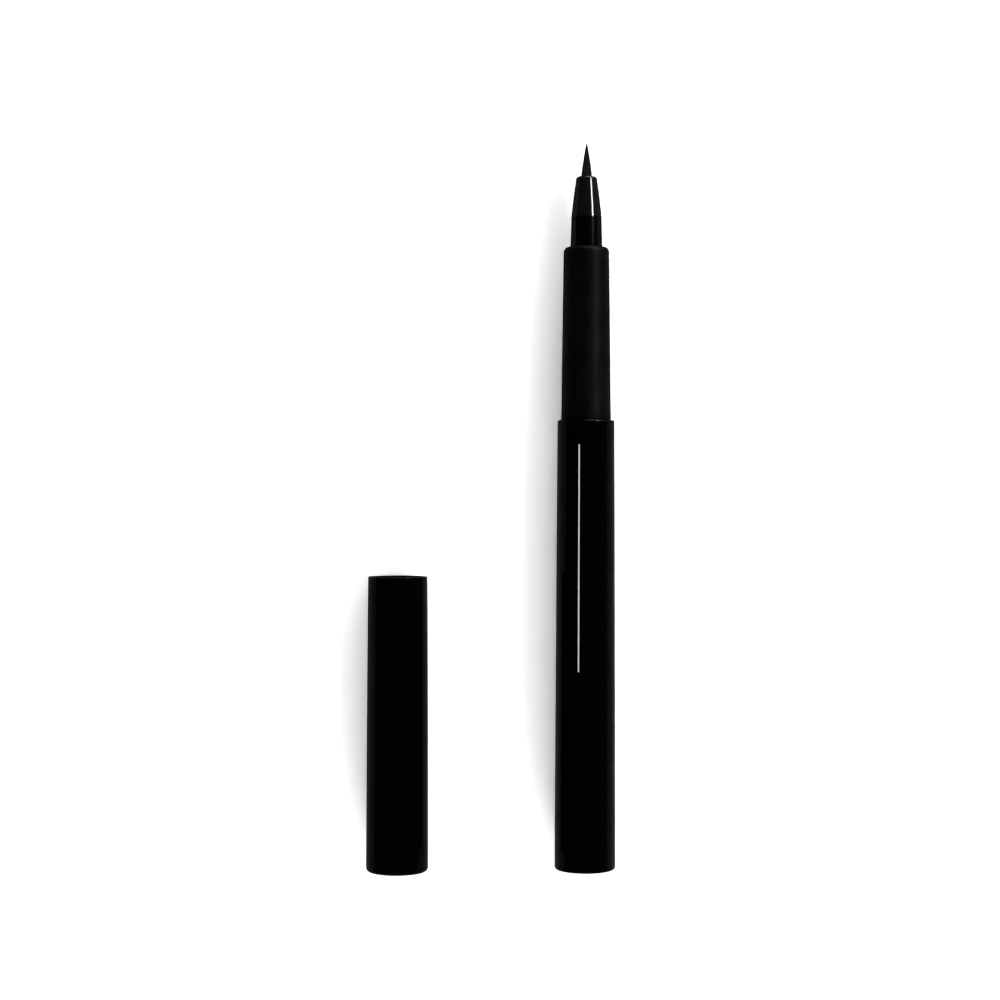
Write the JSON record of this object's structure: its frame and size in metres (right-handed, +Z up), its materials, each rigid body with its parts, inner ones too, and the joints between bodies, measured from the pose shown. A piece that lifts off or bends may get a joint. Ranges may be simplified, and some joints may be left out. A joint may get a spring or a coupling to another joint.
{
  "type": "liquid eyeliner pen",
  "caption": "Slim black brush-tip liquid eyeliner pen lying beside its removed cap; free ink feeds a tapered brush, and a sprung inner cap seals the nose.",
  "frame": {"origin": "middle of the lying pen and cap taken together, on the surface that they lie on", "axes": "+Y along the pen towards the brush, +X from the cap towards the pen, +Z up"},
  "size_m": [0.0448, 0.1308, 0.0112],
  "materials": {
    "barrel_gloss": "polished black plastic",
    "cap_gloss": "polished black plastic",
    "grip_matte": "fine matte charcoal plastic",
    "nose_smoke": "smooth dark smoke-brown plastic",
    "brush_hair": "tapered synthetic hairs, wet with black liquid",
    "print_white": "plain pale printed stripe on the barrel",
    "tank_plastic": "natural polypropylene",
    "gasket_rubber": "black soft rubber",
    "ball_steel": "polished stainless steel",
    "collector_plastic": "white moulded plastic",
    "rod_fibre": "bonded fibre rod",
    "holder_plastic": "natural polypropylene",
    "inner_cap_plastic": "natural polyethylene",
    "spring_steel": "bright spring wire"
  },
  "bodies": {
    "pen": {"barrel": "barrel_gloss", "ink_tank": "tank_plastic", "tank_gasket": "gasket_rubber", "front_section": "grip_matte", "collector": "collector_plastic", "feed_rod": "rod_fibre", "nose_cone": "nose_smoke", "brush_holder": "holder_plastic", "brush_tip": "brush_hair"},
    "agitator": {"agitator_ball": "ball_steel"},
    "cap": {"cap_shell": "cap_gloss", "inner_cap_spring": "spring_steel"},
    "inner_cap": {"inner_cap": "inner_cap_plastic"}
  },
  "joints": [
    {"name": "cap_push", "type": "slide", "parent": "pen", "child": "agitator", "axis": [0, -1, 0], "range_m": [0, 0.0553]},
    {"name": "cap_turn", "type": "hinge", "parent": "agitator", "child": "cap", "pos_m": [0.00006, 0.02937, 0.00558], "axis": [0, 0, -1], "range_deg": [0, 180]},
    {"name": "inner_cap_slide", "type": "slide", "parent": "cap", "child": "inner_cap", "axis": [0, -1, 0], "range_m": [0, 0.0009], "stiffness_N_per_m": 60, "springref_m": -0.005, "deforming": ["inner_cap_spring"]}
  ]
}
